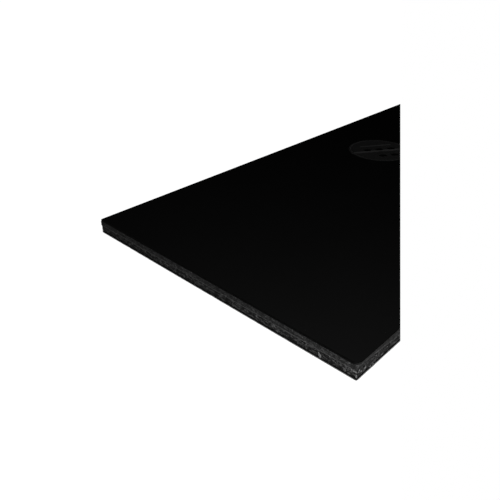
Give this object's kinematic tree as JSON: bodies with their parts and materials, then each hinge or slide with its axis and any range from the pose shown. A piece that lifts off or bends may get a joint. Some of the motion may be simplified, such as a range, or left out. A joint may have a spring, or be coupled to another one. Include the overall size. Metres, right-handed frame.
{
  "type": "kick plate",
  "caption": "Long flat self-adhesive kick plate for the foot of a door: a gloss black sheet over a thick laminated board with square edges, and double-sided tape on the back.",
  "frame": {"origin": "under the centre of the plate, in the plane of the release liners that it rests on", "axes": "+X along the plate's length, across the door; +Y up the door; +Z out of the gloss face, away from the door"},
  "size_m": [0.8, 0.2, 0.0095],
  "materials": {
    "gloss_sheet": "high gloss black",
    "smooth_core": "black board, smooth cut edge",
    "clear_adhesive": "cured clear adhesive film",
    "sawn_core": "black board, rough sawn edge",
    "backing": "matt sanded laminate",
    "label_film": "satin printed film",
    "film_tape": "double-sided film tape, satin",
    "release_paper": "silicone-coated paper"
  },
  "bodies": {
    "root": {"face_sheet": "gloss_sheet", "upper_core": "smooth_core", "bond_line": "clear_adhesive", "lower_core": "sawn_core", "backing_sheet": "backing", "face_label": "label_film", "tape_upper": "film_tape", "tape_lower": "film_tape", "tape_left": "film_tape", "tape_middle": "film_tape", "tape_right": "film_tape", "liner_upper": "release_paper", "liner_lower": "release_paper", "liner_left": "release_paper", "liner_middle": "release_paper", "liner_right": "release_paper"}
  },
  "joints": []
}
